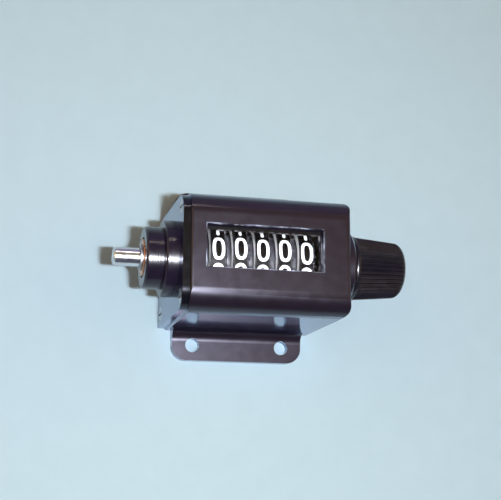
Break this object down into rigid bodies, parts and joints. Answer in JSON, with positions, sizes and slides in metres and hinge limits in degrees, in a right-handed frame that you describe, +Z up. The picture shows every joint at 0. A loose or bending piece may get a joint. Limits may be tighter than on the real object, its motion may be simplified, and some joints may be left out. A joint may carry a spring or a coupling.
{
  "type": "measuring wheel counter",
  "caption": "Geared revolution counter with figure wheels behind a window, a drive shaft at one end, a reset knob at the other and drilled mounting feet.",
  "frame": {"origin": "centre of the four mounting holes, on the underside of the feet", "axes": "+X along the shafts from the drive shaft towards the reset knob, +Z up from the feet to the window"},
  "size_m": [0.1031, 0.0628, 0.05],
  "materials": {
    "case_black": "satin black enamel on a die casting",
    "end_plate_black": "gloss black enamel",
    "screw_steel": "blackened steel",
    "clear_lens": "clear moulded window",
    "bush_bronze": "turned bronze",
    "shaft_steel": "ground bright steel",
    "spring_steel": "oiled spring steel",
    "plate_steel": "plain plated steel",
    "rod_steel": "ground steel rod",
    "gear_brass": "cut brass",
    "wheel_black": "black moulded wheel with white figures",
    "pawl_brass": "stamped spring brass",
    "pinion_nylon": "natural nylon",
    "knob_black": "satin black moulded knob"
  },
  "bodies": {
    "case": {"case": "case_black", "end_plate": "end_plate_black", "end_plate_screws": "screw_steel", "window_lens": "clear_lens", "shaft_bush": "bush_bronze", "left_bearing_plate": "plate_steel", "right_bearing_plate": "plate_steel", "frame_spacers": "plate_steel", "pinion_shaft": "rod_steel", "stack_spacer": "gear_brass", "knob_bush": "bush_bronze"},
    "drive": {"drive_shaft": "shaft_steel", "shaft_retaining_ring": "spring_steel", "thrust_washer": "gear_brass", "drive_gear": "gear_brass"},
    "lay": {"lay_shaft": "rod_steel", "lay_gear_left": "gear_brass", "lay_gear_right": "gear_brass"},
    "reset": {"wheel_shaft": "rod_steel", "wheel_shaft_clip": "spring_steel", "reset_knob": "knob_black", "knob_set_screw": "screw_steel"},
    "ten_thousands": {"ten_thousands_wheel": "wheel_black", "ten_thousands_pawl": "pawl_brass"},
    "thousands": {"thousands_wheel": "wheel_black", "thousands_pawl": "pawl_brass"},
    "hundreds": {"hundreds_wheel": "wheel_black", "hundreds_pawl": "pawl_brass"},
    "tens": {"tens_wheel": "wheel_black", "tens_pawl": "pawl_brass"},
    "units": {"units_wheel": "wheel_black", "units_pawl": "pawl_brass"},
    "ten_thousands_transfer": {"ten_thousands_pinion": "pinion_nylon"},
    "thousands_transfer": {"thousands_pinion": "pinion_nylon"},
    "hundreds_transfer": {"hundreds_pinion": "pinion_nylon"},
    "tens_transfer": {"tens_pinion": "pinion_nylon"}
  },
  "joints": [
    {"name": "drive_spin", "type": "hinge", "parent": "case", "child": "drive", "pos_m": [0, 0, 0.0308], "axis": [1, 0, 0], "continuous": true},
    {"name": "lay_spin", "type": "hinge", "parent": "case", "child": "lay", "pos_m": [0, -0.00581, 0.01483], "axis": [1, 0, 0], "continuous": true},
    {"name": "reset_spin", "type": "hinge", "parent": "case", "child": "reset", "pos_m": [0, 0, 0.0308], "axis": [1, 0, 0], "continuous": true},
    {"name": "units_spin", "type": "hinge", "parent": "case", "child": "units", "pos_m": [0, 0, 0.0308], "axis": [1, 0, 0], "continuous": true},
    {"name": "tens_spin", "type": "hinge", "parent": "case", "child": "tens", "pos_m": [0, 0, 0.0308], "axis": [1, 0, 0], "continuous": true},
    {"name": "hundreds_spin", "type": "hinge", "parent": "case", "child": "hundreds", "pos_m": [0, 0, 0.0308], "axis": [1, 0, 0], "continuous": true},
    {"name": "thousands_spin", "type": "hinge", "parent": "case", "child": "thousands", "pos_m": [0, 0, 0.0308], "axis": [1, 0, 0], "continuous": true},
    {"name": "ten_thousands_spin", "type": "hinge", "parent": "case", "child": "ten_thousands", "pos_m": [0, 0, 0.0308], "axis": [1, 0, 0], "continuous": true},
    {"name": "tens_transfer_spin", "type": "hinge", "parent": "case", "child": "tens_transfer", "pos_m": [0, 0.01138, 0.01942], "axis": [1, 0, 0], "continuous": true},
    {"name": "hundreds_transfer_spin", "type": "hinge", "parent": "case", "child": "hundreds_transfer", "pos_m": [0, 0.01138, 0.01942], "axis": [1, 0, 0], "continuous": true},
    {"name": "thousands_transfer_spin", "type": "hinge", "parent": "case", "child": "thousands_transfer", "pos_m": [0, 0.01138, 0.01942], "axis": [1, 0, 0], "continuous": true},
    {"name": "ten_thousands_transfer_spin", "type": "hinge", "parent": "case", "child": "ten_thousands_transfer", "pos_m": [0, 0.01138, 0.01942], "axis": [1, 0, 0], "continuous": true}
  ],
  "couplings": [
    {"joint": "lay_spin", "follows": "drive_spin", "ratio": -1},
    {"joint": "units_spin", "follows": "drive_spin", "ratio": 1},
    {"joint": "tens_spin", "follows": "drive_spin", "ratio": 0.1},
    {"joint": "hundreds_spin", "follows": "drive_spin", "ratio": 0.01},
    {"joint": "thousands_spin", "follows": "drive_spin", "ratio": 0.001},
    {"joint": "ten_thousands_spin", "follows": "drive_spin", "ratio": 0.0001},
    {"joint": "tens_transfer_spin", "follows": "drive_spin", "ratio": -0.25},
    {"joint": "hundreds_transfer_spin", "follows": "drive_spin", "ratio": -0.025},
    {"joint": "thousands_transfer_spin", "follows": "drive_spin", "ratio": -0.0025},
    {"joint": "ten_thousands_transfer_spin", "follows": "drive_spin", "ratio": -0.00025}
  ]
}
